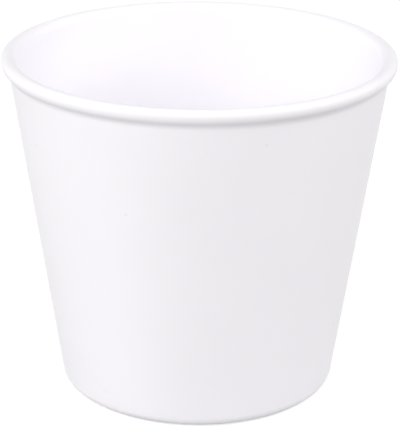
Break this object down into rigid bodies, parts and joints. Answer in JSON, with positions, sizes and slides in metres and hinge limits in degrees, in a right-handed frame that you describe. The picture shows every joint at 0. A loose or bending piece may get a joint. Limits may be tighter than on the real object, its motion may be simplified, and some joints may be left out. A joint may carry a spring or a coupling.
{
  "type": "reusable plastic cup",
  "caption": "Round tapered drinking cup moulded in one piece, with a rounded bead lip all round and a raised floor on a low standing ring.",
  "frame": {"origin": "on the axis, in the plane of the standing ring that the cup rests on", "axes": "+Z along the cup's axis, from the foot towards the mouth; X and Y are any two directions across it, as the cup is round"},
  "size_m": [0.09, 0.09, 0.0795],
  "materials": {
    "white_plastic": "satin"
  },
  "bodies": {
    "root": {"cup": "white_plastic"}
  },
  "joints": []
}
